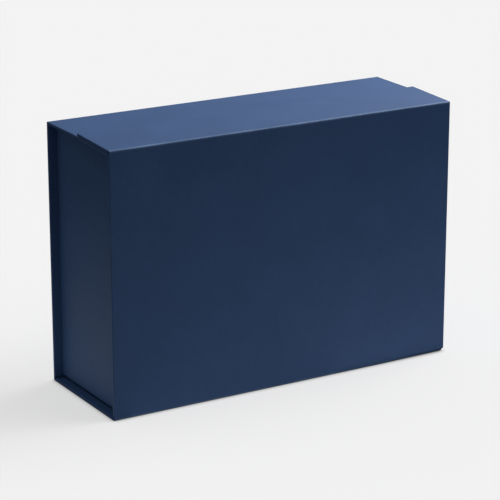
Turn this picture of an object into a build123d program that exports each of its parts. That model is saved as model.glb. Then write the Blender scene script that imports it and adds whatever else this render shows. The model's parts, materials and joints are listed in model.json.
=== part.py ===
from build123d import *
from math import cos, radians, sin, tan
import os

# A rigid archival storage box with a hinged lid and a magnetic closing flap, in millimetres.
#
# Five board panels are joined in one strip by paper folds: closure wall, base, spine, lid and flap.
# Two end walls are set back inside the strip. The closed box stands on its spine: X is its width,
# the lid faces -Y, the base faces +Y, and the flap lies over the closure wall on top (+Z).
# The origin is at the middle of the spine, on the surface the box stands on.

# Overall sizes
WIDTH = 330.0
DEPTH = 112.0
CLOSURE_HEIGHT = 228.0      # closure wall above the table, at the base
LID_HEIGHT = 227.6          # lid's top fold above the table
WALL_LENGTH = 109.0         # closure wall, from the base to its free edge
FLAP_LENGTH = 56.0          # flap, from the lid's fold to its free edge

# Sheet materials
BOARD = 2.0                 # greyboard core
WRAP = 0.2                  # covering paper
LINER = 0.15                # lining paper
RIM = WRAP + BOARD + WRAP   # panel at an edge with the covering turned in
PANEL = RIM + LINER         # panel with its lining

# Folds, turn-ins and linings
FOLD_RADIUS = 1.2           # outside of a paper fold
BOARD_SETBACK = 3.0         # board edge from the outside corner of a fold
HINGE_GAP = 0.3             # paper on one side of a moving fold from the paper on the other
TURN_IN = 15.0              # covering turned over onto the inside of a panel
LINING_MARGIN = 8.5         # turned-in covering left showing round a lining
LINING_SIDE_MARGIN = 11.0   # the same at the sides of the folded panels, inside the end walls

# Closure wall: it leans slightly, then bends in further where the flap lies on it
WALL_LEAN = 0.5
WALL_BEND = 2.1
WALL_BEND_AT = 52.0         # middle of the bend from the base
WALL_BEND_RADIUS = 300.0
FLAP_TILT = 2.5

# End walls, and the paper stays that hold them
END_INSET = 7.5             # end wall behind the edges of the other panels
END_FRONT = -53.0           # end wall's edge behind the lid
END_SPINE_GAP = 2.0         # end wall's edge from the spine
END_BASE_GAP = 0.5          # end wall's edge from the base
END_WALL_GAP = 0.3          # end wall's edge from the closure wall
STAY_LEG = 12.0
STAY_PAPER = 0.3
STAY_FRONT = 6.0            # stays stop this far behind the lid's face
STAY_BACK = 109.0
BASE_STAY_TOP = 210.0

# Closure magnets in the flap, and steel keepers in the closure wall under them
DISC_RADIUS = 6.0
DISC_THICKNESS = 1.5
POCKET_RADIUS = 6.1
MAGNET_X = 100.0
MAGNET_ALONG = 36.0         # from the lid's fold, along the flap

HALF = WIDTH / 2
BACK = DEPTH / 2
RIGHT_ANGLE = 90.0


def direction(angle):
    """Unit vector in the end view, whose axes are Y and Z; angle in degrees from +Y."""
    return Vector(cos(radians(angle)), sin(radians(angle)))


class Panel:
    """A flat panel in the end view: v runs along its outer face from a corner, depth runs inward."""

    def __init__(self, corner, angle, inward_turn):
        self.corner = Vector(*corner)
        self.along = direction(angle)
        self.inward = direction(angle + inward_turn)

    def point(self, v, depth):
        return self.corner + self.along * v + self.inward * depth

    def side(self, v_from, v_to, depth):
        return [Line(self.point(v_from, depth), self.point(v_to, depth))]


class BentPanel:
    """A panel of two flat legs with a gentle bend between them, measured as a flat panel is."""

    def __init__(self, corner, angle, bend, bend_at, radius):
        half_arc = radius * tan(radians(bend / 2))
        self.bend_from = bend_at - half_arc
        self.bend_to = self.bend_from + radius * radians(bend)
        self.first = Panel(corner, angle, RIGHT_ANGLE)
        self.middle = direction(angle + bend / 2 - RIGHT_ANGLE)
        self.radius = radius
        self.centre = self.first.point(self.bend_from, radius)
        knee = self.centre - direction(angle + bend + RIGHT_ANGLE) * radius
        self.second = Panel((knee.X, knee.Y), angle + bend, RIGHT_ANGLE)

    def point(self, v, depth):
        if v <= self.bend_from:
            return self.first.point(v, depth)
        return self.second.point(v - self.bend_to, depth)

    def side(self, v_from, v_to, depth):
        if v_from >= self.bend_to or v_to <= self.bend_from:
            return [Line(self.point(v_from, depth), self.point(v_to, depth))]
        start = self.first.point(self.bend_from, depth)
        middle = self.centre + self.middle * (self.radius - depth)
        end = self.second.point(0, depth)
        return [
            Line(self.point(v_from, depth), start),
            ThreePointArc(start, middle, end),
            Line(end, self.point(v_to, depth)),
        ]

    def v_at(self, y, depth):
        """Distance along the panel where the given depth reaches y."""
        first_v = (y - self.first.point(0, depth).X) / self.first.along.X
        if first_v <= self.bend_from:
            return first_v
        return self.bend_to + (y - self.second.point(0, depth).X) / self.second.along.X


spine = Panel((-BACK, 0), 0, RIGHT_ANGLE)
base = Panel((BACK, 0), 90, RIGHT_ANGLE)
closure = BentPanel((BACK, CLOSURE_HEIGHT), 180 + WALL_LEAN, WALL_BEND, WALL_BEND_AT, WALL_BEND_RADIUS)
lid = Panel((-BACK, 0), 90, -RIGHT_ANGLE)
flap = Panel((-BACK, LID_HEIGHT), FLAP_TILT, -RIGHT_ANGLE)


def prism(edges, x_from, x_to):
    """Solid from a closed outline in the end view, between two places across the width."""
    return extrude(Plane.YZ.offset(x_from) * make_face(edges), amount=x_to - x_from)


def slab(panel, v_from, v_to, depth_from, depth_to, x_from, x_to):
    """Part of a panel between two distances along it, two depths and two places across the width."""
    outer = panel.side(v_from, v_to, depth_from)
    inner = panel.side(v_from, v_to, depth_to)
    ends = [Line(panel.point(v, depth_from), panel.point(v, depth_to)) for v in (v_from, v_to)]
    return prism(outer + inner + ends, x_from, x_to)


def board(panel, v_from, v_to):
    """Greyboard core of a panel."""
    return slab(panel, v_from, v_to, WRAP, WRAP + BOARD, -HALF + WRAP, HALF - WRAP)


def covering(panel, paper, core, free_end=False):
    """Covering paper: the outer sheet, wrapped round the board's edges and turned in behind it."""
    paper_from, paper_to = paper
    core_from, core_to = core
    turned_to = paper_to if free_end else core_to
    sheet = slab(panel, paper_from, paper_to, 0, WRAP, -HALF, HALF)
    for side in (-1, 1):
        edge = sorted((side * (HALF - WRAP), side * HALF))
        turn = sorted((side * (HALF - TURN_IN), side * HALF))
        sheet += slab(panel, core_from, turned_to, 0, RIM, *edge)
        sheet += slab(panel, core_from, turned_to, RIM - WRAP, RIM, *turn)
    if free_end:
        sheet += slab(panel, core_to, paper_to, 0, RIM, -HALF, HALF)
        sheet += slab(panel, paper_to - TURN_IN, paper_to, RIM - WRAP, RIM, -HALF, HALF)
    return sheet


def lining(panel, v_from, v_to, free_end=False):
    """Lining paper: it laps over the turn-ins and lies on the board between them."""
    lap_to = v_to - LINING_MARGIN if free_end else v_to
    bed_to = v_to - TURN_IN if free_end else v_to
    lap_x = HALF - LINING_SIDE_MARGIN
    bed_x = HALF - TURN_IN
    sheet = slab(panel, v_from, lap_to, RIM, PANEL, -lap_x, lap_x)
    return sheet + slab(panel, v_from, bed_to, RIM - WRAP, RIM, -bed_x, bed_x)


def fold_reach(angle_between):
    """Distance from a fold's outside corner to where its round starts."""
    return FOLD_RADIUS / tan(radians(angle_between / 2))


def fold(corner, first_angle, angle_between, depth_from, depth_to):
    """Round strip of paper across the corner between two panels, the full width of the box."""
    reach = fold_reach(angle_between)
    inward = direction(first_angle + angle_between / 2)
    centre = Vector(*corner) + inward * (FOLD_RADIUS / sin(radians(angle_between / 2)))
    feet = [Vector(*corner) + direction(a) * reach for a in (first_angle, first_angle + angle_between)]
    spokes = [(foot - centre).normalized() for foot in feet]
    arcs = []
    for depth in (depth_from, depth_to):
        radius = FOLD_RADIUS - depth
        start, end = (centre + spoke * radius for spoke in spokes)
        arcs.append(ThreePointArc(start, centre - inward * radius, end))
    ends = [Line(arcs[0] @ t, arcs[1] @ t) for t in (0, 1)]
    return prism(arcs + ends, -HALF, HALF)


def end_outline(inset):
    """End wall's outline in the end view; its top edge follows the underside of the closure wall."""
    rear = BACK - RIM - END_BASE_GAP - inset
    front = END_FRONT + inset
    bottom = RIM + END_SPINE_GAP + inset
    depth = RIM + END_WALL_GAP + inset
    top_rear = closure.v_at(rear, depth)
    top_front = closure.v_at(front, depth)
    corners = [closure.point(top_front, depth), (front, bottom), (rear, bottom)]
    corners.append(closure.point(top_rear, depth))
    lower = [Line(a, b) for a, b in zip(corners, corners[1:])]
    return closure.side(top_rear, top_front, depth) + lower


def end_plate(side, inset, outer, inner):
    """Part of an end wall between two distances inside the edges of the strip."""
    x_from, x_to = sorted((side * (HALF - outer), side * (HALF - inner)))
    return prism(end_outline(inset), x_from, x_to)


def end_board(side):
    """Greyboard core of an end wall."""
    return end_plate(side, WRAP, END_INSET + WRAP, END_INSET + WRAP + BOARD)


def end_covering(side):
    """Covering paper of an end wall, turned in round all four edges."""
    block = end_plate(side, 0, END_INSET, END_INSET + RIM)
    core = end_plate(side, WRAP, END_INSET + WRAP, END_INSET + WRAP + BOARD)
    window = end_plate(side, TURN_IN, END_INSET + WRAP + BOARD, END_INSET + RIM)
    return block - core - window


def end_lining(side):
    """Lining paper of an end wall, lapped over its turn-ins."""
    bed = end_plate(side, TURN_IN, END_INSET + WRAP + BOARD, END_INSET + RIM)
    lap = end_plate(side, LINING_MARGIN, END_INSET + RIM, END_INSET + PANEL)
    return bed + lap


def stay(panel, v_from, v_to, side):
    """Angle of paper in the corner between an end wall and another panel."""
    face = HALF - END_INSET - PANEL
    foot = sorted((side * (face - STAY_LEG), side * face))
    leg = sorted((side * (face - STAY_PAPER), side * face))
    angle = slab(panel, v_from, v_to, PANEL, PANEL + STAY_PAPER, *foot)
    return angle + slab(panel, v_from, v_to, PANEL, PANEL + STAY_LEG, *leg)


def disc(panel, v, depth, x, radius):
    """Disc lying in a panel, from the given depth inward."""
    place = panel.point(v, depth)
    inward = panel.point(v, depth + 1) - place
    plane = Plane(origin=(x, place.X, place.Y), z_dir=(0, inward.X, inward.Y))
    return plane * Cylinder(radius, DISC_THICKNESS, align=(Align.CENTER, Align.CENTER, Align.MIN))


# Where each panel's board starts and ends, and where its covering does
CLOSURE_CORNER = RIGHT_ANGLE - WALL_LEAN
FLAP_CORNER = RIGHT_ANGLE + FLAP_TILT
square_reach = fold_reach(RIGHT_ANGLE)
closure_reach = fold_reach(CLOSURE_CORNER)
flap_reach = fold_reach(FLAP_CORNER)

spine_core = (BOARD_SETBACK, DEPTH - BOARD_SETBACK)
spine_paper = (square_reach, DEPTH - square_reach)
base_core = (BOARD_SETBACK, CLOSURE_HEIGHT - BOARD_SETBACK)
base_paper = (square_reach, CLOSURE_HEIGHT - closure_reach)
closure_core = (BOARD_SETBACK, WALL_LENGTH - WRAP)
closure_paper = (closure_reach, WALL_LENGTH)
lid_core = (BOARD_SETBACK, LID_HEIGHT - BOARD_SETBACK)
lid_paper = (square_reach + HINGE_GAP, LID_HEIGHT - flap_reach)
flap_core = (BOARD_SETBACK, FLAP_LENGTH - WRAP)
flap_paper = (flap_reach + HINGE_GAP, FLAP_LENGTH)

# Discs: the magnets open into the flap's inner face, the keepers into the wall's outer face
magnet_depth = WRAP + BOARD - DISC_THICKNESS
keeper_v = closure.v_at(flap.point(MAGNET_ALONG, PANEL).X, 0)
flap_board = board(flap, *flap_core)
closure_board = board(closure, *closure_core)
for x in (-MAGNET_X, MAGNET_X):
    flap_board -= disc(flap, MAGNET_ALONG, magnet_depth, x, POCKET_RADIUS)
    closure_board -= disc(closure, keeper_v, WRAP, x, POCKET_RADIUS)

parts = {
    "spine_board": board(spine, *spine_core),
    "spine_covering": covering(spine, spine_paper, spine_core),
    "spine_lining": lining(spine, *spine_core),
    "base_board": board(base, *base_core),
    "base_covering": covering(base, base_paper, base_core),
    "base_lining": lining(base, *base_core),
    "closure_wall_board": closure_board,
    "closure_wall_covering": covering(closure, closure_paper, closure_core, free_end=True),
    "closure_wall_lining": lining(closure, *closure_core, free_end=True),
    "lid_board": board(lid, *lid_core),
    "lid_covering": covering(lid, lid_paper, lid_core),
    "lid_lining": lining(lid, *lid_core),
    "flap_board": flap_board,
    "flap_covering": covering(flap, flap_paper, flap_core, free_end=True),
    "flap_lining": lining(flap, *flap_core, free_end=True),
}

# Folds: name, outside corner, direction of the first panel from it, and angle to the second panel
folds = (
    ("base_spine", (BACK, 0), RIGHT_ANGLE, RIGHT_ANGLE),
    ("closure_base", (BACK, CLOSURE_HEIGHT), 180 + WALL_LEAN, CLOSURE_CORNER),
    ("lid_hinge", (-BACK, 0), 0, RIGHT_ANGLE),
    ("flap_hinge", (-BACK, LID_HEIGHT), -RIGHT_ANGLE, FLAP_CORNER),
)
for name, *corner in folds:
    parts[f"{name}_fold"] = fold(*corner, 0, WRAP)
    parts[f"{name}_fold_lining"] = fold(*corner, WRAP, WRAP + LINER)

for name, side in (("left", -1), ("right", 1)):
    parts[f"end_wall_board_{name}"] = end_board(side)
    parts[f"end_wall_covering_{name}"] = end_covering(side)
    parts[f"end_wall_lining_{name}"] = end_lining(side)
    parts[f"spine_stay_{name}"] = stay(spine, STAY_FRONT, STAY_BACK, side)
    parts[f"base_stay_{name}"] = stay(base, PANEL + STAY_LEG + STAY_PAPER, BASE_STAY_TOP, side)
    parts[f"closure_stay_{name}"] = stay(closure, BOARD_SETBACK, DEPTH - STAY_FRONT, side)
    parts[f"flap_magnet_{name}"] = disc(flap, MAGNET_ALONG, magnet_depth, side * MAGNET_X, DISC_RADIUS)
    parts[f"keeper_disc_{name}"] = disc(closure, keeper_v, WRAP, side * MAGNET_X, DISC_RADIUS)

os.makedirs("parts", exist_ok=True)
for name, part in parts.items():
    export_step(part, f"parts/{name}.step")
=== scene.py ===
import json
from math import ceil, copysign, cos, hypot, pi, radians, sin, tan

import bmesh
import bpy
import numpy as np
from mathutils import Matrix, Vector

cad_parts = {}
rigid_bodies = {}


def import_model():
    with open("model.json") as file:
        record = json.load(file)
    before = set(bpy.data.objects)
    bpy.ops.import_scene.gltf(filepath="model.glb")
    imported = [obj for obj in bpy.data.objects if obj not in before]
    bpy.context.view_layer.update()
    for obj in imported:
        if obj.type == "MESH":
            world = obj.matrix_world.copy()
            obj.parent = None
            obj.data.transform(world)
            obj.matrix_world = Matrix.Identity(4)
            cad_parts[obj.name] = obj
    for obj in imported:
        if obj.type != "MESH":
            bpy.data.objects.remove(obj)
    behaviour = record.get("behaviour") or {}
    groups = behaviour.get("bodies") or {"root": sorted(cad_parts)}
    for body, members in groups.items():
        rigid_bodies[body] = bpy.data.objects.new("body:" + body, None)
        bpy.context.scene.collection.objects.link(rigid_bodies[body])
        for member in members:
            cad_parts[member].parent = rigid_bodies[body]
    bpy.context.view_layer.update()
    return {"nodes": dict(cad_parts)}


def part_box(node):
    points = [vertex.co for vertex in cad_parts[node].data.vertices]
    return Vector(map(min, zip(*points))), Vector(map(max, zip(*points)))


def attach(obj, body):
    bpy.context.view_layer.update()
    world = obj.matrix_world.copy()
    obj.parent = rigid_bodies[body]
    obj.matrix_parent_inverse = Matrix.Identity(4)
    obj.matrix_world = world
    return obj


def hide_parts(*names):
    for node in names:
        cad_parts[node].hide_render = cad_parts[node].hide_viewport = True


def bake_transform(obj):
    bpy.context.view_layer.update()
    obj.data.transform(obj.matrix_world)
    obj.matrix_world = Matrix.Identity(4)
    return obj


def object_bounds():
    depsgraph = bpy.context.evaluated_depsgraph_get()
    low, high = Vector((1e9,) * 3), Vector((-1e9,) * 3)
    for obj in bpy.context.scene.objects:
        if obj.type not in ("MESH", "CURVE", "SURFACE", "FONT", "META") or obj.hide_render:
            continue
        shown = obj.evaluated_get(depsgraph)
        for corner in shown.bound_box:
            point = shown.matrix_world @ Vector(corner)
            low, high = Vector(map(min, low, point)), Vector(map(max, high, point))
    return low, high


# Looks of a rigid archival box: paper-covered board panels, folded paper hinges and paper linings.
# Units are metres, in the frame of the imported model: X is the width, the lid faces -Y, +Z is up.

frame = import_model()

MM = 0.001

# Sheets and boards
BOARD = 2.0 * MM
PAPER = 0.2 * MM                # covering paper
LINER = 0.15 * MM               # lining paper
RIM = BOARD + 2 * PAPER         # panel at an edge with the covering turned in
PINCHED = 2 * PAPER             # covering turned in where a fold has no board
TURN_IN = 15 * MM
LINING_MARGIN = 8.5 * MM        # turned-in covering left showing round a lining
LINING_SIDE_MARGIN = 11 * MM    # the same at the sides of the folded panels, inside the end walls
PLY = 0.9                       # share of a paper's thickness that its solid takes

# Folds
FOLD_RADIUS = 1.2 * MM
BOARD_SETBACK = 3.0 * MM        # board edge from the outside corner of a fold
RAMP = 1.5 * MM                 # where paper climbs from a fold onto a board
SEAM = 0.3 * MM                 # flat paper at each side of a moving fold that belongs to it
FOLD_TUCK = 0.15 * MM           # fold ends drawn in from the side edges
TUCK_LENGTH = 7 * MM

# The lid fold's right end is slightly crushed: drawn in, and pressed up along the last stretch
CRUSHED_TUCK = 5.0 * MM
CRUSHED_TUCK_LENGTH = 14 * MM
CRUSHED_DEPTH = 1.1 * MM
CRUSHED_LENGTH = 70 * MM

# Share of the rubbed colour at the middle of a fold, and how far from there it reaches; the rubbed
# colour is wear and also a painted highlight along the fold
FOLD_WEAR_AND_HIGHLIGHT = 0.85
FOLD_WEAR_AND_HIGHLIGHT_REACH = 2.1 * MM

# Closure wall and flap: the wall slopes a little down to its free edge, with a slight bend under the
# flap's free edge, and the flap lies on it. Angles are in degrees.
WALL_LENGTH = 109 * MM
WALL_LEAN = 0.5
WALL_BEND = 2.1
WALL_BEND_AT = 52 * MM
WALL_BEND_RADIUS = 300 * MM
FLAP_LENGTH = 56 * MM
FLAP_TILT = 2.5

# Paper stays in the corners: width of each leg, thickness, and where they start and stop
STAY_LEG = 12 * MM
STAY_PAPER = 0.3 * MM
STAY_FOLD = 0.7 * MM            # inner radius of the fold between the legs
STAY_FOLD_STEPS = 6
SPINE_STAY_FROM = 6 * MM
SPINE_STAY_TO = 109 * MM
BASE_STAY_TO = 210 * MM
CLOSURE_STAY_TO = 106 * MM

# Mesh detail
EDGE_RADIUS = 0.6 * MM          # rounding of paper over a board's edge
EDGE_STEPS = 4                  # facets in that rounding
RAMP_STEPS = 5
ARC_STEP = radians(7.5)
EDGE_OFFSETS = [offset * MM for offset in (0.4, 1.2, 3, 5, 7, 10, 15)]
LONGEST_STEP = 24 * MM
SHORTEST_STEP = 0.04 * MM
MERGE = 0.002 * MM
CREASE = radians(35)

# Discs felt through the paper over the magnets and keepers
PRINT_DEPTH = 0.07 * MM
PRINT_SOFTNESS = 1.2 * MM
PRINT_STEPS = 17

# Colours, sheen, and how bright the floor is
NAVY_DEEP = (0.0265, 0.0592, 0.143)
NAVY_PALE = (0.0365, 0.0783, 0.184)
# Lighter navy on folds: rubbed wear, and a painted highlight along the fold's ridge
NAVY_RUBBED_AND_HIGHLIT = (0.120, 0.200, 0.340)
PAPER_SPECULAR = 0.12
FLOOR_ALBEDO = 0.45
FLOOR_GLOW = 0.602
CONTACT_DISTANCE = 5 * MM       # how far from the box its contact shadow reaches

# Studio
FLOOR_REACH = 12.0              # half of its side
FLOOR_HEIGHT = -0.1 * MM
CARD_HEIGHT = -0.05 * MM
BACKDROP = 0.887                # linear brightness of the bare floor, and of what is beyond it
SKY = 0.241
BACK_SKY = 0.092                # what is added to the sky behind the box

# Camera; angles are in degrees
CAMERA_DISTANCE = 1.862
CAMERA_AZIMUTH = -30.95
CAMERA_ELEVATION = 17.21
CAMERA_LENS = 156.1
AIM_RIGHT = -1.9 * MM           # what the camera looks at, from the middle of the box
AIM_UP = -9.3 * MM


def unit(angle):
    """Unit vector in the end view, at an angle in radians from +Y towards +Z."""
    return np.array((cos(angle), sin(angle)))


def smooth(share):
    """Rises from 0 to 1 with level ends as share does."""
    share = min(max(share, 0.0), 1.0)
    return share * share * (3 - 2 * share)


def quarter_turn(steps):
    """Angles in radians from 0 to a right angle."""
    return [pi / 2 * k / steps for k in range(steps + 1)]


def side_marks(half, inner_half):
    """Places across a panel, close together near its side edges and the ends of the turned-in paper."""
    marks = [side * (half - offset) for side in (-1, 1) for offset in EDGE_OFFSETS]
    return marks + [side * (inner_half + shift * MM) for side in (-1, 1) for shift in (-1, 0, 1)]


def thinned(marks, start, end):
    """Sorted places from start to end, none very close to the last and none very far from it."""
    inside = sorted(mark for mark in marks if start < mark < end)
    kept = [start]
    for mark in inside:
        if mark - kept[-1] > SHORTEST_STEP and end - mark > SHORTEST_STEP:
            kept.append(mark)
    kept.append(end)
    filled = [start]
    for a, b in zip(kept, kept[1:]):
        steps = ceil((b - a) / LONGEST_STEP)
        filled += [a + (b - a) * k / steps for k in range(1, steps + 1)]
    return filled


class Strip:
    """A folded strip of panels: its outer face in the end view, as straight and round stretches.

    Places on it are x across the width, s along the outer face, and depth from it towards the inside.
    """

    def __init__(self, start, heading, inside):
        self.end = np.array(start)
        self.heading = radians(heading)
        self.inside = inside            # 1 with the inside on the left of the heading, -1 on the right
        self.length = 0.0
        self.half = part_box("spine_covering")[1].x
        self.stretches = []
        self.origins = {}
        self.boards = []
        self.folds = []
        self.prints = []
        self.corner = np.array((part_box("lid_covering")[0].y, 0.0))

    def add(self, length, curve):
        self.stretches.append((self.length, self.end, self.heading, curve))
        self.end, self.heading = self.along(self.stretches[-1], length)
        self.length += length

    def along(self, stretch, run):
        """Point and heading at a distance into a stretch."""
        _, point, heading, curve = stretch
        if not curve:
            return point + run * unit(heading), heading
        turned = heading + curve * run
        return point + (unit(turned - pi / 2) - unit(heading - pi / 2)) / curve, turned

    def turn(self, angle, radius):
        """A round stretch towards the inside."""
        length = radius * radians(angle)
        if radius == FOLD_RADIUS:
            self.folds.append(self.length + length / 2)
        self.add(length, self.inside / radius)

    def panel(self, name, v_from, v_to):
        """A flat stretch, between two distances from the panel's own outside corner."""
        self.origins.setdefault(name, self.length - v_from)
        self.add(v_to - v_from, 0.0)

    def at(self, name, v):
        return self.origins[name] + v

    def frame(self, s):
        """Point of the outer face at s, and the unit vector from it towards the inside."""
        stretch = self.stretches[0]
        for candidate in self.stretches:
            if candidate[0] <= s:
                stretch = candidate
        point, heading = self.along(stretch, s - stretch[0])
        return point, self.inside * unit(heading + pi / 2)

    def raised(self, s):
        """1 over a board, 0 at a fold."""
        most = 0.0
        for board_from, board_to in self.boards:
            rise = smooth((s - board_from + RAMP) / RAMP)
            fall = smooth((board_to + RAMP - s) / RAMP)
            most = max(most, min(rise, fall))
        return most

    def thickness(self, s):
        return PINCHED + (RIM - PINCHED) * self.raised(s)

    def worn_and_highlit(self, s):
        """Share of wear and painted highlight: 1 at the middle of a sharp fold, 0 away from it."""
        return max(smooth(1 - abs(s - middle) / FOLD_WEAR_AND_HIGHLIGHT_REACH) for middle in self.folds)

    def place(self, x, s, depth):
        for print_x, print_s, radius in self.prints:
            distance = hypot(x - print_x, s - print_s)
            depth += PRINT_DEPTH * smooth((radius - distance) / PRINT_SOFTNESS)
        point, inward = self.frame(s)
        near_corner = max(0.0, 1 - hypot(*(point - self.corner)) / BOARD_SETBACK)
        pressed = smooth((x - self.half + CRUSHED_LENGTH) / CRUSHED_LENGTH)
        depth += CRUSHED_DEPTH * near_corner * pressed
        near_end = smooth((abs(x) - self.half + TUCK_LENGTH) / TUCK_LENGTH)
        tuck = copysign(FOLD_TUCK * near_end * (1 - self.raised(s)), x)
        at_crush = smooth((x - self.half + CRUSHED_TUCK_LENGTH) / CRUSHED_TUCK_LENGTH)
        x -= tuck + CRUSHED_TUCK * near_corner * at_crush
        y, z = point + inward * depth
        return Vector((x, y, z))

    def nearest(self, corner):
        """Distance along the strip of the place nearest to a point in the end view."""
        places = np.arange(0, self.length, 0.1 * MM)
        return min(places, key=lambda s: np.linalg.norm(self.frame(s)[0] - corner))

    def add_prints(self, *nodes):
        for node in nodes:
            low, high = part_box(node)
            middle = (low + high) / 2
            radius = (high.x - low.x) / 2
            self.prints.append((middle.x, self.nearest((middle.y, middle.z)), radius + PRINT_SOFTNESS))

    def rows(self, start, end):
        marks = []
        for begin, _, _, curve in self.stretches:
            following = [other[0] for other in self.stretches if other[0] > begin] + [self.length]
            length = following[0] - begin
            steps = max(1, ceil(abs(curve) * length / ARC_STEP))
            marks += [begin + length * k / steps for k in range(steps + 1)]
        for board_from, board_to in self.boards:
            marks += [board_from - RAMP * k / RAMP_STEPS for k in range(RAMP_STEPS + 1)]
            marks += [board_to + RAMP * k / RAMP_STEPS for k in range(RAMP_STEPS + 1)]
            marks += [board_from + offset for offset in EDGE_OFFSETS]
            marks += [board_to - offset for offset in EDGE_OFFSETS]
        for _, middle, radius in self.prints:
            marks += list(np.linspace(middle - radius, middle + radius, PRINT_STEPS))
        return thinned(marks, start, end)

    def columns(self, half):
        marks = side_marks(half, self.half - TURN_IN)
        for middle, _, radius in self.prints:
            marks += list(np.linspace(middle - radius, middle + radius, PRINT_STEPS))
        return thinned(marks, -half, half)


def case_strip():
    """Spine, base and closure wall, from the lid's fold to the closure wall's free edge."""
    front, rear = (corner.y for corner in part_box("spine_covering"))
    bottom, top = (corner.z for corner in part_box("base_covering"))
    reach = FOLD_RADIUS / tan(radians(90 - WALL_LEAN) / 2)
    half_bend = WALL_BEND_RADIUS * tan(radians(WALL_BEND / 2))
    bend_from = WALL_BEND_AT - half_bend
    bend_to = bend_from + WALL_BEND_RADIUS * radians(WALL_BEND)
    strip = Strip((front, 0.0), 0, 1)
    strip.panel("spine", FOLD_RADIUS, FOLD_RADIUS + rear - front)
    strip.turn(90, FOLD_RADIUS)
    strip.panel("base", bottom, top)
    strip.turn(90 + WALL_LEAN, FOLD_RADIUS)
    strip.panel("wall", reach, bend_from)
    strip.turn(WALL_BEND, WALL_BEND_RADIUS)
    strip.panel("wall_front", bend_to, WALL_LENGTH)
    depth = rear - front + 2 * FOLD_RADIUS
    strip.boards = [
        (strip.at("spine", BOARD_SETBACK), strip.at("spine", depth - BOARD_SETBACK)),
        (strip.at("base", BOARD_SETBACK), strip.at("base", top + reach - BOARD_SETBACK)),
        (strip.at("wall", BOARD_SETBACK), strip.at("wall", WALL_LENGTH)),
    ]
    return strip


def front_strip():
    """Lid and flap, with the two moving folds, from the spine to the flap's free edge."""
    front, rear = (corner.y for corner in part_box("spine_covering"))
    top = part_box("lid_covering")[1].z
    reach = FOLD_RADIUS / tan(radians(90 + FLAP_TILT) / 2)
    strip = Strip((front, 0.0), 180, -1)
    strip.turn(90, FOLD_RADIUS)
    strip.panel("lid", FOLD_RADIUS, top)
    strip.turn(90 - FLAP_TILT, FOLD_RADIUS)
    strip.panel("flap", reach, FLAP_LENGTH)
    strip.boards = [
        (front - rear - FOLD_RADIUS + BOARD_SETBACK, FOLD_RADIUS - BOARD_SETBACK),
        (strip.at("lid", BOARD_SETBACK), strip.at("lid", top + reach - BOARD_SETBACK)),
        (strip.at("flap", BOARD_SETBACK), strip.at("flap", FLAP_LENGTH)),
    ]
    return strip


class EndWall:
    """An end wall: x runs up it, s towards the back, and depth from its outer face inward."""

    def __init__(self, name, side, case):
        self.low, self.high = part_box(f"end_wall_covering_{name}")
        self.side = side
        self.face = max(abs(self.low.x), abs(self.high.x))
        self.half = (self.high.z - self.low.z) / 2
        self.length = self.high.y - self.low.y
        self.case = case
        self.gap = 0.0
        self.gap = self.top(self.high.y) - self.high.z

    def top(self, y):
        """Height of the end wall's top edge, just under the closure wall."""
        s = self.case.at("wall", self.high.y - y)
        for _ in range(4):
            point, inward = self.case.frame(s)
            s += (point + inward * RIM)[0] - y
        point, inward = self.case.frame(s)
        return (point + inward * RIM)[1] - self.gap

    def worn_and_highlit(self, s):
        return 0.0

    def thickness(self, s):
        return RIM

    def place(self, x, s, depth):
        y = self.low.y + s
        share = (x + self.half) / (2 * self.half)
        z = self.low.z + share * (self.top(y) - self.low.z)
        return Vector((self.side * (self.face - depth), y, z))

    def rows(self, start, end):
        marks = [edge for offset in EDGE_OFFSETS for edge in (offset, self.length - offset)]
        marks += [self.length - WALL_BEND_AT + k * MM for k in range(-6, 7, 2)]
        marks += [TURN_IN + MM, self.length - TURN_IN - MM]
        return thinned(marks, start, end)

    def columns(self, half):
        return thinned(side_marks(half, self.half - TURN_IN), -half, half)


class Surface:
    """Points, the wear and painted highlight at each, and the faces between them."""

    def __init__(self):
        self.points = []
        self.wear_and_highlight = []
        self.faces = []

    def add(self, point, wear_and_highlight=0.0):
        self.points.append(point)
        self.wear_and_highlight.append(wear_and_highlight)
        return len(self.points) - 1

    def join(self, table):
        """Faces between neighbouring rows of a table of point numbers."""
        for first, second in zip(table, table[1:]):
            for k in range(len(first) - 1):
                corners = dict.fromkeys((first[k], first[k + 1], second[k + 1], second[k]))
                if len(corners) > 2:
                    self.faces.append(list(corners))


def outline(rows, columns, free_start, free_end):
    """Runs of (row, column, direction in the panel) round the edges over which paper is turned in."""
    last_row, last_column = rows - 1, columns - 1
    left = [(row, 0, pi) for row in range(rows)]
    right = [(row, last_column, 0.0) for row in reversed(range(rows))]
    quarter = quarter_turn(EDGE_STEPS)
    if not free_end:
        return [left, right]
    run = left + [(last_row, 0, pi - turn) for turn in quarter]
    run += [(last_row, column, pi / 2) for column in range(columns)]
    run += [(last_row, last_column, pi / 2 - turn) for turn in quarter] + right
    if free_start:
        run += [(0, last_column, -turn) for turn in quarter]
        run += [(0, column, -pi / 2) for column in reversed(range(columns))]
        run += [(0, 0, -pi / 2 - turn) for turn in quarter] + left[:1]
    return [run]


def edge_profile(radius, height):
    """Paper over a board's edge: distances outward and depths, from the outer face to the inner."""
    quarter = quarter_turn(EDGE_STEPS)
    over = [(radius * sin(turn), radius * (1 - cos(turn))) for turn in quarter[1:]]
    under = [(radius * cos(turn), height - radius * (1 - sin(turn))) for turn in quarter]
    return over + under


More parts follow.
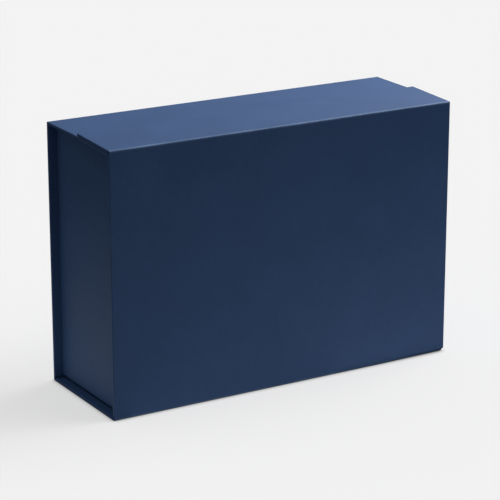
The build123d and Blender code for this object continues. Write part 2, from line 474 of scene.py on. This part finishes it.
def wrap(panel, start, end, free_start=False, free_end=False):
    """Outer side of covering paper on a panel: its face, rounded edges and turned-in margins."""
    rows = panel.rows(start + EDGE_RADIUS * free_start, end - EDGE_RADIUS * free_end)
    columns = panel.columns(panel.half)
    surface = Surface()
    places = []
    table = []
    for s in rows:
        radius = min(EDGE_RADIUS, panel.thickness(s) / 2)
        shrink = (panel.half - radius) / panel.half
        places.append([(x * shrink, s, radius) for x in columns])
        # Folds get the rubbed colour: wear, and a painted highlight
        wear_and_highlight = FOLD_WEAR_AND_HIGHLIGHT * panel.worn_and_highlit(s)
        table.append([surface.add(panel.place(x * shrink, s, 0), wear_and_highlight) for x in columns])
    surface.join(table)
    inner_start = start + TURN_IN * free_start
    inner_end = end - TURN_IN * free_end
    inner_half = panel.half - TURN_IN
    for run in outline(len(rows), len(columns), free_start, free_end):
        rings = []
        for row, column, direction in run:
            x, s, radius = places[row][column]
            ring = [table[row][column]]
            for out, depth in edge_profile(radius, panel.thickness(s)):
                place = panel.place(x + out * cos(direction), s + out * sin(direction), depth)
                ring.append(surface.add(place))
            inner_x = max(-inner_half, min(inner_half, x))
            inner_s = max(inner_start, min(inner_end, s))
            ring.append(surface.add(panel.place(inner_x, inner_s, panel.thickness(inner_s))))
            rings.append(ring)
        surface.join(rings[::-1])
    return surface


def lining(panel, start, end, half, free_start=False, free_end=False):
    """Inner side of lining paper: it sinks a little where no turned-in covering lies under it."""
    surface = Surface()
    table = []
    margin = LINING_MARGIN - TURN_IN
    for s in panel.rows(start, end):
        bare_along = smooth((end + margin - s) / MM) if free_end else 1.0
        bare_along *= smooth((s - start + margin) / MM) if free_start else 1.0
        row = []
        for x in panel.columns(half):
            bare = bare_along * smooth((panel.half - TURN_IN - abs(x)) / MM)
            row.append(surface.add(panel.place(x, s, panel.thickness(s) + LINER - PAPER * bare)))
        table.append(row)
    surface.join(table)
    return surface


def stay(case, start, end, face, side):
    """Visible side of a paper angle in the corner between an end wall and a panel of the case."""
    floor = RIM + LINER + STAY_PAPER
    wall = face - STAY_PAPER
    profile = [(face - STAY_LEG, floor)]
    for turn in quarter_turn(STAY_FOLD_STEPS):
        profile.append((wall - STAY_FOLD * (1 - sin(turn)), floor + STAY_FOLD * (1 - cos(turn))))
    profile.append((wall, RIM + LINER + STAY_LEG))
    surface = Surface()
    rows = case.rows(start, end)
    surface.join([[surface.add(case.place(side * x, s, depth)) for x, depth in profile] for s in rows])
    return surface


def solid_sheet(name, surface, toward, thickness, material):
    """Closed sheet of even thickness whose given surface faces the given way at its first face."""
    a, b, c = (surface.points[k] for k in surface.faces[0][:3])
    faces = surface.faces
    if (b - a).cross(c - a).dot(toward) < 0:
        faces = [face[::-1] for face in faces]
    flat = bpy.data.meshes.new(name + "_surface")
    flat.from_pydata(surface.points, [], faces)
    # Per-point share of rubbed colour on folds: wear, and a painted highlight
    flat.attributes.new("wear_and_highlight", "FLOAT", "POINT").data.foreach_set("value", surface.wear_and_highlight)
    shaping = bmesh.new()
    shaping.from_mesh(flat)
    bmesh.ops.remove_doubles(shaping, verts=shaping.verts, dist=MERGE)
    shaping.to_mesh(flat)
    shaping.free()
    draft = bpy.data.objects.new(name + "_draft", flat)
    bpy.context.scene.collection.objects.link(draft)
    solidify = draft.modifiers.new("thickness", "SOLIDIFY")
    solidify.thickness = thickness
    solidify.offset = -1
    solidify.use_even_offset = False
    graph = bpy.context.evaluated_depsgraph_get()
    mesh = bpy.data.meshes.new_from_object(draft.evaluated_get(graph))
    bpy.data.objects.remove(draft)
    bpy.data.meshes.remove(flat)
    mesh.name = name
    mesh.polygons.foreach_set("use_smooth", [True] * len(mesh.polygons))
    mesh.set_sharp_from_angle(angle=CREASE)
    piece = bpy.data.objects.new(name, mesh)
    bpy.context.scene.collection.objects.link(piece)
    shading = piece.modifiers.new("shading", "WEIGHTED_NORMAL")
    shading.keep_sharp = True
    set_material(piece, material)
    return piece


def set_material(piece, material):
    piece.data.materials.clear()
    piece.data.materials.append(material)


def facing(panel, s, sense):
    """Direction into a panel at s, or out of it if sense is -1."""
    return panel.place(0, s, sense * MM) - panel.place(0, s, 0)


def paper_piece(name, panel, start, end, nodes, material, **ends):
    """Covering paper on part of a panel, standing for CAD nodes."""
    surface = wrap(panel, start, end, **ends)
    piece = solid_sheet(name, surface, facing(panel, start, -1), PAPER * PLY, material)
    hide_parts(*nodes)
    return piece


def lining_piece(name, panel, start, end, half, nodes, material, **ends):
    """Lining paper on part of a panel, standing for CAD nodes."""
    surface = lining(panel, start, end, half, **ends)
    piece = solid_sheet(name, surface, facing(panel, start, 1), LINER * PLY, material)
    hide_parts(*nodes)
    return piece


class Nodes:
    """A new material and short ways to add nodes to it."""

    def __init__(self, name):
        self.material = bpy.data.materials.new(name)
        self.material.use_nodes = True
        self.tree = self.material.node_tree
        self.shader = self.tree.nodes["Principled BSDF"]
        self.coords = self.tree.nodes.new("ShaderNodeTexCoord").outputs["Object"]

    def link(self, output, socket):
        self.tree.links.new(output, socket)

    def stretched(self, scale):
        mapping = self.tree.nodes.new("ShaderNodeMapping")
        mapping.inputs["Scale"].default_value = scale
        self.link(self.coords, mapping.inputs["Vector"])
        return mapping.outputs["Vector"]

    def noise(self, scale, detail=2.0, roughness=0.5, coords=None):
        node = self.tree.nodes.new("ShaderNodeTexNoise")
        node.inputs["Scale"].default_value = scale
        node.inputs["Detail"].default_value = detail
        node.inputs["Roughness"].default_value = roughness
        self.link(coords or self.coords, node.inputs["Vector"])
        return node.outputs["Fac"]

    def spread(self, value, from_low, from_high, to_low=0.0, to_high=1.0):
        node = self.tree.nodes.new("ShaderNodeMapRange")
        for name, number in zip(
            ("From Min", "From Max", "To Min", "To Max"), (from_low, from_high, to_low, to_high)
        ):
            node.inputs[name].default_value = number
        self.link(value, node.inputs["Value"])
        return node.outputs["Result"]

    def maths(self, operation, first, second):
        node = self.tree.nodes.new("ShaderNodeMath")
        node.operation = operation
        for socket, value in zip(node.inputs, (first, second)):
            if isinstance(value, float):
                socket.default_value = value
            else:
                self.link(value, socket)
        return node.outputs["Value"]

    def mixed(self, factor, first, second):
        node = self.tree.nodes.new("ShaderNodeMix")
        node.data_type = "RGBA"
        self.link(factor, node.inputs["Factor"])
        for socket, colour in ((node.inputs[6], first), (node.inputs[7], second)):
            if isinstance(colour, tuple):
                socket.default_value = (*colour, 1.0)
            else:
                self.link(colour, socket)
        return node.outputs[2]

    def bump(self, height, distance, strength=1.0, under=None):
        node = self.tree.nodes.new("ShaderNodeBump")
        node.inputs["Distance"].default_value = distance
        node.inputs["Strength"].default_value = strength
        self.link(height, node.inputs["Height"])
        if under:
            self.link(under, node.inputs["Normal"])
        return node.outputs["Normal"]

    # Per-point share of rubbed colour on folds: wear, and a painted highlight
    def wear_and_highlight(self):
        node = self.tree.nodes.new("ShaderNodeAttribute")
        node.attribute_name = "wear_and_highlight"
        return node.outputs["Fac"]


def navy_paper():
    """Satin dyed paper: fine fibres, slight mottling, and sharp folds rubbed a little lighter, a colour
    that is wear and also a painted highlight.
    """
    nodes = Nodes("navy_covering_paper")
    fibres = nodes.noise(1100, 4, 0.6, nodes.stretched((1.0, 0.35, 0.35)))
    clouds = nodes.noise(22, 3)
    mottle = nodes.noise(170, 3)
    parts = [
        nodes.spread(value, 0.3, 0.7, 0.0, share)
        for value, share in ((fibres, 0.4), (clouds, 0.35), (mottle, 0.25))
    ]
    shade = nodes.maths("ADD", nodes.maths("ADD", parts[0], parts[1]), parts[2])
    colour = nodes.mixed(shade, NAVY_DEEP, NAVY_PALE)
    # Folds rubbed lighter: wear, and a painted highlight along their ridges
    rubbed_and_highlit = nodes.maths("MULTIPLY", nodes.wear_and_highlight(), nodes.spread(clouds, 0.35, 0.65, 0.3, 1.0))
    colour = nodes.mixed(rubbed_and_highlit, colour, NAVY_RUBBED_AND_HIGHLIT)
    nodes.link(colour, nodes.shader.inputs["Base Color"])
    nodes.link(nodes.spread(clouds, 0.3, 0.7, 0.50, 0.58), nodes.shader.inputs["Roughness"])
    waves = nodes.bump(nodes.noise(11, 1), 0.25 * MM, 0.5)
    grain = nodes.bump(fibres, 0.045 * MM, 0.6, waves)
    nodes.link(grain, nodes.shader.inputs["Normal"])
    nodes.shader.inputs["Specular IOR Level"].default_value = PAPER_SPECULAR
    return nodes.material


def pale_paper():
    """Uncoated off-white paper with visible fibres."""
    nodes = Nodes("pale_lining_paper")
    fibres = nodes.noise(900, 5, 0.65, nodes.stretched((0.3, 1.0, 0.6)))
    clouds = nodes.noise(18, 3)
    flecks = nodes.noise(420, 2, 0.5)
    colour = nodes.mixed(nodes.spread(clouds, 0.3, 0.7), (0.55, 0.535, 0.49), (0.61, 0.595, 0.55))
    colour = nodes.mixed(nodes.spread(fibres, 0.45, 0.75, 0.0, 0.35), colour, (0.47, 0.45, 0.40))
    colour = nodes.mixed(nodes.spread(flecks, 0.70, 0.76, 0.0, 0.5), colour, (0.34, 0.31, 0.26))
    nodes.link(colour, nodes.shader.inputs["Base Color"])
    nodes.link(nodes.spread(fibres, 0.3, 0.7, 0.78, 0.92), nodes.shader.inputs["Roughness"])
    nodes.link(nodes.bump(fibres, 0.05 * MM, 0.6), nodes.shader.inputs["Normal"])
    nodes.shader.inputs["Specular IOR Level"].default_value = 0.25
    return nodes.material


def greyboard():
    """Recycled grey board with light and dark specks."""
    nodes = Nodes("grey_board")
    pulp = nodes.noise(260, 6, 0.7)
    specks = nodes.noise(1500, 3, 0.6)
    colour = nodes.mixed(nodes.spread(pulp, 0.3, 0.7), (0.15, 0.14, 0.125), (0.24, 0.225, 0.20))
    colour = nodes.mixed(nodes.spread(specks, 0.62, 0.72, 0.0, 0.8), colour, (0.42, 0.40, 0.36))
    colour = nodes.mixed(nodes.spread(specks, 0.34, 0.28, 0.0, 0.8), colour, (0.05, 0.05, 0.055))
    nodes.link(colour, nodes.shader.inputs["Base Color"])
    nodes.link(nodes.spread(pulp, 0.3, 0.7, 0.85, 0.97), nodes.shader.inputs["Roughness"])
    nodes.link(nodes.bump(pulp, 0.12 * MM, 0.7), nodes.shader.inputs["Normal"])
    return nodes.material


def plated_metal(name, pale, dull, roughness):
    """Plated metal with faint scuffs."""
    nodes = Nodes(name)
    scuffs = nodes.noise(700, 4, 0.6, nodes.stretched((1.0, 0.15, 1.0)))
    colour = nodes.mixed(nodes.spread(scuffs, 0.3, 0.7), pale, dull)
    dullness = nodes.spread(scuffs, 0.3, 0.7, roughness, roughness + 0.2)
    nodes.link(colour, nodes.shader.inputs["Base Color"])
    nodes.link(dullness, nodes.shader.inputs["Roughness"])
    nodes.link(nodes.bump(scuffs, 0.01 * MM, 0.4), nodes.shader.inputs["Normal"])
    nodes.shader.inputs["Metallic"].default_value = 1.0
    return nodes.material


def studio_floor():
    """Plain pale matt floor; part of its brightness is its own glow, so that shadows stay faint."""
    nodes = Nodes("floor")
    grain = nodes.noise(60, 4)
    low, high = (tuple(FLOOR_ALBEDO * share for _ in range(3)) for share in (0.995, 1.0))
    nodes.link(nodes.mixed(grain, low, high), nodes.shader.inputs["Base Color"])
    nodes.shader.inputs["Roughness"].default_value = 1.0
    nodes.shader.inputs["Specular IOR Level"].default_value = 0.0
    nearby = nodes.tree.nodes.new("ShaderNodeAmbientOcclusion")
    nearby.inputs["Distance"].default_value = CONTACT_DISTANCE
    nodes.link(nearby.outputs["AO"], nodes.shader.inputs["Emission Color"])
    nodes.shader.inputs["Emission Strength"].default_value = FLOOR_GLOW
    return nodes.material


def build_box():
    navy, pale = navy_paper(), pale_paper()
    case, front = case_strip(), front_strip()
    case.add_prints("keeper_disc_left", "keeper_disc_right")
    lap = case.half - LINING_SIDE_MARGIN
    lid_from = front.at("lid", FOLD_RADIUS) + SEAM
    lid_to = front.at("lid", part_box("lid_covering")[1].z) - SEAM
    flap_from = front.at("flap", FOLD_RADIUS / tan(radians(90 + FLAP_TILT) / 2)) + SEAM

    # The case's covering and lining run unbroken over its fixed folds
    piece = paper_piece(
        "case_covering_paper", case, SEAM, case.length,
        ("spine_covering", "base_spine_fold", "base_covering", "closure_base_fold",
         "closure_wall_covering"),
        navy, free_end=True,
    )
    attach(piece, "case")
    piece = lining_piece(
        "case_lining_paper", case, SEAM, case.length - LINING_MARGIN, lap,
        ("spine_lining", "base_spine_fold_lining", "base_lining", "closure_base_fold_lining",
         "closure_wall_lining"),
        pale, free_end=True,
    )
    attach(piece, "case")

    # Lid and flap
    piece = paper_piece("lid_covering_paper", front, lid_from, lid_to, ("lid_covering",), navy)
    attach(piece, "lid")
    piece = lining_piece("lid_lining_paper", front, lid_from, lid_to, lap, ("lid_lining",), pale)
    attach(piece, "lid")
    piece = paper_piece(
        "flap_covering_paper", front, flap_from, front.length, ("flap_covering",), navy, free_end=True
    )
    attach(piece, "flap")
    front.add_prints("flap_magnet_left", "flap_magnet_right")
    piece = lining_piece(
        "flap_lining_paper", front, flap_from, front.length - LINING_MARGIN, lap, ("flap_lining",),
        pale, free_end=True,
    )
    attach(piece, "flap")

    # Moving folds
    folds = (
        ("lid_hinge", "case", "lid", -SEAM, lid_from),
        ("flap_hinge", "lid", "flap", lid_to, flap_from),
    )
    for name, first, second, start, end in folds:
        feet = [front.place(0, s, 0) for s in (start + SEAM, end - SEAM)]
        paper = paper_piece(f"{name}_paper", front, start, end, (f"{name}_fold",), navy)
        inner = lining_piece(
            f"{name}_lining_paper", front, start, end, lap, (f"{name}_fold_lining",), pale
        )
        for piece in (paper, inner):
            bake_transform(piece)

    # End walls, and the paper angles that hold them
    inner_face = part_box("end_wall_lining_right")[0].x
    base_stay_from = RIM + LINER + STAY_PAPER + STAY_LEG
    runs = {
        "spine_stay": (case.at("spine", SPINE_STAY_FROM), case.at("spine", SPINE_STAY_TO)),
        "base_stay": (case.at("base", base_stay_from), case.at("base", BASE_STAY_TO)),
        "closure_stay": (case.at("wall", BOARD_SETBACK), case.at("wall", CLOSURE_STAY_TO)),
    }
    for name, side in (("left", -1), ("right", 1)):
        wall = EndWall(name, side, case)
        piece = paper_piece(
            f"end_wall_paper_{name}", wall, 0.0, wall.length, (f"end_wall_covering_{name}",),
            navy, free_start=True, free_end=True,
        )
        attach(piece, "case")
        piece = lining_piece(
            f"end_wall_lining_paper_{name}", wall, LINING_MARGIN, wall.length - LINING_MARGIN,
            wall.half - LINING_MARGIN, (f"end_wall_lining_{name}",),
            pale, free_start=True, free_end=True,
        )
        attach(piece, "case")
        for stay_name, (start, end) in runs.items():
            surface = stay(case, start, end, inner_face, side)
            piece = solid_sheet(
                f"{stay_name}_paper_{name}", surface, facing(case, start, 1), STAY_PAPER * PLY, navy
            )
            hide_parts(f"{stay_name}_{name}")
            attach(piece, "case")


def finish_cad_nodes():
    """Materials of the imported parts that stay: board cores, magnets and keepers."""
    board = greyboard()
    nickel = plated_metal("nickel_plate", (0.62, 0.60, 0.56), (0.48, 0.46, 0.43), 0.18)
    zinc = plated_metal("zinc_plate", (0.52, 0.53, 0.55), (0.36, 0.37, 0.39), 0.35)
    finishes = {"board": board, "magnet": nickel, "keeper": zinc}
    for name, node in frame["nodes"].items():
        for word, material in finishes.items():
            if word in name:
                set_material(node, material)


def add_camera():
    low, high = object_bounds()
    azimuth, elevation = radians(CAMERA_AZIMUTH), radians(CAMERA_ELEVATION)
    right = Vector((cos(azimuth), sin(azimuth), 0.0))
    back = Vector((sin(azimuth) * cos(elevation), -cos(azimuth) * cos(elevation), sin(elevation)))
    aim = (low + high) / 2 + right * AIM_RIGHT + back.cross(right) * AIM_UP
    data = bpy.data.cameras.new("camera")
    data.lens = CAMERA_LENS
    data.clip_end = 100.0
    camera = bpy.data.objects.new("camera", data)
    camera.location = aim + back * CAMERA_DISTANCE
    camera.rotation_euler = (pi / 2 - elevation, 0.0, azimuth)
    bpy.context.scene.collection.objects.link(camera)
    bpy.context.scene.camera = camera


def add_floor():
    mesh = bpy.data.meshes.new("floor")
    signs = ((-1, -1), (1, -1), (1, 1), (-1, 1))
    corners = [(x * FLOOR_REACH, y * FLOOR_REACH, FLOOR_HEIGHT) for x, y in signs]
    mesh.from_pydata(corners, [], [(0, 1, 2, 3)])
    floor = bpy.data.objects.new("floor", mesh)
    bpy.context.scene.collection.objects.link(floor)
    set_material(floor, studio_floor())
    floor.visible_diffuse = False
    floor.visible_glossy = False


def add_softbox(name, place, aim, width, height, power):
    data = bpy.data.lights.new(name, "AREA")
    data.shape = "RECTANGLE"
    data.size, data.size_y = width, height
    data.energy = power
    light = bpy.data.objects.new(name, data)
    light.location = place
    light.rotation_euler = (Vector(aim) - Vector(place)).to_track_quat("-Z", "Y").to_euler()
    bpy.context.scene.collection.objects.link(light)
    return light


def add_sun(name, direction, angle, strength):
    """Light from a wide patch of sky; direction points from the box towards it."""
    data = bpy.data.lights.new(name, "SUN")
    data.angle = radians(angle)
    data.energy = strength
    light = bpy.data.objects.new(name, data)
    light.rotation_euler = Vector(direction).to_track_quat("Z", "Y").to_euler()
    bpy.context.scene.collection.objects.link(light)
    return light


def add_card(name, x_range, y_range, brightness):
    """Pale card lying on the floor, which lights the box from below and isn't seen itself."""
    width, depth = x_range[1] - x_range[0], y_range[1] - y_range[0]
    middle = Vector((sum(x_range) / 2, sum(y_range) / 2, CARD_HEIGHT))
    above = middle + Vector((0, 0, 1))
    card = add_softbox(name, middle, above, width, depth, pi * width * depth * brightness)
    card.rotation_euler = (pi, 0.0, 0.0)
    card.visible_camera = False


def add_world():
    """Faint light from above, a little more of it from behind the box, and a plain pale backdrop."""
    world = bpy.data.worlds.new("studio")
    bpy.context.scene.world = world
    world.use_nodes = True
    tree = world.node_tree
    direction = tree.nodes.new("ShaderNodeTexCoord").outputs["Generated"]

    def glow(towards, start, end, low, high):
        toward = tree.nodes.new("ShaderNodeVectorMath")
        toward.operation = "DOT_PRODUCT"
        toward.inputs[1].default_value = Vector(towards).normalized()
        tree.links.new(direction, toward.inputs[0])
        rise = tree.nodes.new("ShaderNodeMapRange")
        rise.interpolation_type = "SMOOTHSTEP"
        for name, number in (("From Min", start), ("From Max", end), ("To Min", low), ("To Max", high)):
            rise.inputs[name].default_value = number
        tree.links.new(toward.outputs["Value"], rise.inputs["Value"])
        return rise.outputs["Result"]

    above = glow((0, 0, 1), 0.0, 0.02, 0.0, 1.0)
    behind = glow((0.1, 1, 0.35), 0.3, 0.95, SKY, SKY + BACK_SKY)
    strength = tree.nodes.new("ShaderNodeMath")
    strength.operation = "MULTIPLY"
    tree.links.new(above, strength.inputs[0])
    tree.links.new(behind, strength.inputs[1])
    light = tree.nodes["Background"]
    tree.links.new(strength.outputs["Value"], light.inputs["Strength"])
    backdrop = tree.nodes.new("ShaderNodeBackground")
    for background in (light, backdrop):
        background.inputs["Color"].default_value = (1.0, 1.0, 1.0, 1.0)
    backdrop.inputs["Strength"].default_value = BACKDROP
    seen = tree.nodes.new("ShaderNodeMixShader")
    tree.links.new(tree.nodes.new("ShaderNodeLightPath").outputs["Is Camera Ray"], seen.inputs["Fac"])
    tree.links.new(light.outputs["Background"], seen.inputs[1])
    tree.links.new(backdrop.outputs["Background"], seen.inputs[2])
    tree.links.new(seen.outputs["Shader"], tree.nodes["World Output"].inputs["Surface"])


def light_studio():
    bpy.context.scene.view_settings.view_transform = "Standard"
    add_world()
    add_sun("key", (1.0, -0.4, 1.0), 50, 0.60)
    add_sun("side_key", (1.0, 0.0, 1.0), 50, 1.16)

    # These two light the box and leave the floor out
    box_lights = [
        add_softbox("top", (0.9, 0.2, 0.9), (0.05, 0.0, 0.2), 0.7, 0.7, 19.1),
        add_sun("left_fill", (-0.3, -0.1, 1.0), 30, 0.20),
    ]
    receivers = bpy.data.collections.new("box_pieces")
    bpy.context.scene.collection.children.link(receivers)
    for piece in bpy.context.scene.objects:
        if piece.type == "MESH" and piece.name != "floor":
            receivers.objects.link(piece)
    for light in box_lights:
        light.light_linking.receiver_collection = receivers

    # Name, reach in x, reach in y, brightness
    cards = (
        ("card_front", (-0.15, 0.05), (-0.40, -0.0565), 0.576),
        ("card_front_right", (0.05, 0.45), (-0.40, -0.0585), 0.810),
        ("card_front_left", (-0.45, -0.15), (-0.40, -0.0565), 0.341),
        ("card_left", (-0.45, -0.170), (-0.0565, 0.30), 0.650),
        ("card_far_left", (-0.90, -0.45), (-0.40, 0.50), 0.114),
        ("card_right", (0.1655, 0.45), (-0.0565, 0.30), 0.6),
        ("card_back", (-0.1655, 0.1655), (0.0565, 0.40), 0.6),
    )
    for card in cards:
        add_card(*card)


build_box()
finish_cad_nodes()
add_camera()
add_floor()
light_studio()
